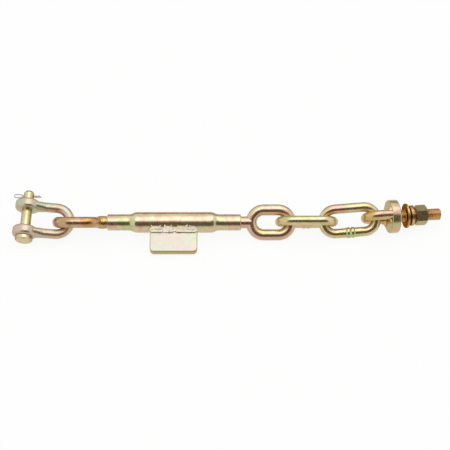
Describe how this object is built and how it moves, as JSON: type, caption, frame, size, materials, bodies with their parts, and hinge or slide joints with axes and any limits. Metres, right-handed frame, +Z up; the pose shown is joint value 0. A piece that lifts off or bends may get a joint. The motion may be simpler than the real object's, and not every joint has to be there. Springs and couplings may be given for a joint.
{
  "type": "lower link stabilizer",
  "caption": "Turnbuckle check chain for a tractor's lower link, with a welded tab, a clevis shackle at one end and chain links with a threaded stud, washers and nut at the other.",
  "frame": {"origin": "centre of the footprint, on the table that the part lies on", "axes": "+X along the chain from the shackle to the stud, +Y away from the tab's free edge, +Z up"},
  "size_m": [0.5798, 0.0844, 0.0484],
  "materials": {
    "bow_weld_zinc": "yellow zinc plate",
    "bow_zinc": "yellow zinc plate",
    "link_zinc": "yellow zinc plate",
    "nut_zinc": "yellow zinc plate",
    "pin_zinc": "yellow zinc plate",
    "rod_zinc": "yellow zinc plate",
    "shackle_zinc": "yellow zinc plate",
    "split_pin_steel": "satin zinc plate",
    "spring_zinc": "yellow zinc plate",
    "stud_zinc": "yellow zinc plate",
    "tab_zinc": "yellow zinc plate",
    "tube_zinc": "yellow zinc plate",
    "washer_zinc": "yellow zinc plate",
    "weld_zinc": "yellow zinc plate"
  },
  "bodies": {
    "left_rod": {"left_eye_rod": "rod_zinc"},
    "turnbuckle": {"turnbuckle_tube": "tube_zinc", "tab_plate": "tab_zinc", "tab_weld_upper": "weld_zinc", "tab_weld_lower": "weld_zinc"},
    "right_rod": {"right_eye_rod": "rod_zinc"},
    "shackle": {"shackle": "shackle_zinc"},
    "pin": {"clevis_pin": "pin_zinc", "split_pin": "split_pin_steel"},
    "near_link": {"chain_link_near": "link_zinc"},
    "far_link": {"chain_link_far": "link_zinc"},
    "eye_bolt": {"stud_bolt": "stud_zinc", "bow": "bow_zinc", "bow_weld_upper": "bow_weld_zinc", "bow_weld_lower": "bow_weld_zinc"},
    "flat_washer": {"flat_washer": "washer_zinc"},
    "spring_washer": {"spring_washer": "spring_zinc"},
    "nut": {"hex_nut": "nut_zinc"}
  },
  "joints": [
    {"name": "body_turn", "type": "hinge", "parent": "left_rod", "child": "turnbuckle", "pos_m": [-0.16182, 0.00224, 0.01938], "axis": [1, 0, 0], "range_deg": [-360, 3600]},
    {"name": "right_rod_slide", "type": "slide", "parent": "left_rod", "child": "right_rod", "axis": [1, 0, 0], "range_m": [-0.0042, 0.0402]},
    {"name": "shackle_swing", "type": "hinge", "parent": "left_rod", "child": "shackle", "pos_m": [-0.21267, 0.00224, 0.01936], "axis": [0.0667, 0.9117, 0.4054], "range_deg": [-30, 4]},
    {"name": "clevis_pin_turn", "type": "hinge", "parent": "shackle", "child": "pin", "pos_m": [-0.27143, 0.00439, 0.02419], "axis": [0.0667, 0.9117, 0.4054], "continuous": true},
    {"name": "near_link_swing", "type": "hinge", "parent": "right_rod", "child": "near_link", "pos_m": [0.08498, 0.00224, 0.01938], "axis": [0, 0.7071, 0.7071], "range_deg": [-50, 50]},
    {"name": "far_link_swing", "type": "hinge", "parent": "near_link", "child": "far_link", "pos_m": [0.12885, 0.00224, 0.01921], "axis": [-0.0814, 0.6398, 0.7642], "range_deg": [-50, 50]},
    {"name": "eye_bolt_swing", "type": "hinge", "parent": "far_link", "child": "eye_bolt", "pos_m": [0.18666, 0.00377, 0.02644], "axis": [0.1764, -0.5516, 0.8152], "range_deg": [-30, 50]},
    {"name": "flat_washer_slide", "type": "slide", "parent": "eye_bolt", "child": "flat_washer", "axis": [0.9807, 0.1694, -0.0976], "range_m": [-0.011, 0]},
    {"name": "spring_washer_slide", "type": "slide", "parent": "eye_bolt", "child": "spring_washer", "axis": [0.9807, 0.1694, -0.0976], "range_m": [-0.0021, 0.0161]},
    {"name": "nut_turn", "type": "hinge", "parent": "spring_washer", "child": "nut", "pos_m": [0.21706, 0.00902, 0.02342], "axis": [0.9807, 0.1694, -0.0976], "range_deg": [-360, 2880]}
  ],
  "couplings": [
    {"joint": "right_rod_slide", "follows": "body_turn", "m_per_rad": 0.00063662},
    {"joint": "spring_washer_slide", "follows": "nut_turn", "m_per_rad": 0.00031831}
  ]
}
